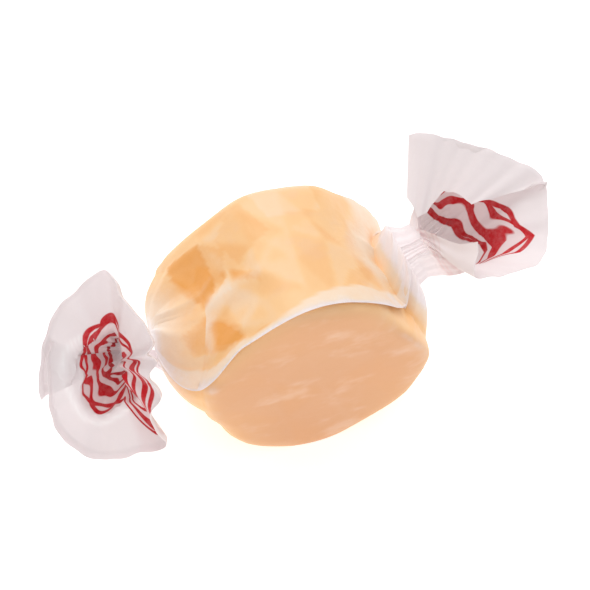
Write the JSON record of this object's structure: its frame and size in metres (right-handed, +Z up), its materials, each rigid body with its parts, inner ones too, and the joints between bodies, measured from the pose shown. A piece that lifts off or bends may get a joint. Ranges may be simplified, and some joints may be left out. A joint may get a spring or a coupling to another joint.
{
  "type": "wrapped salt water taffy",
  "caption": "Round puck of soft peach-coloured salt water taffy, rolled in translucent waxed paper with both ends twisted into short flared fans.",
  "frame": {"origin": "under the middle of the whole piece's box, on the surface it rests on", "axes": "+X from the left twist to the right one, +Z up; the puck's cut faces look along -Y and +Y, and the overlap's edge lies on the -Y side"},
  "size_m": [0.0582, 0.022, 0.0257],
  "materials": {
    "taffy": "soft pulled sugar, slightly waxy",
    "waxed_paper": "thin translucent waxed paper with a red print near each end"
  },
  "bodies": {
    "root": {"taffy": "taffy", "wrapper": "waxed_paper"}
  },
  "joints": []
}
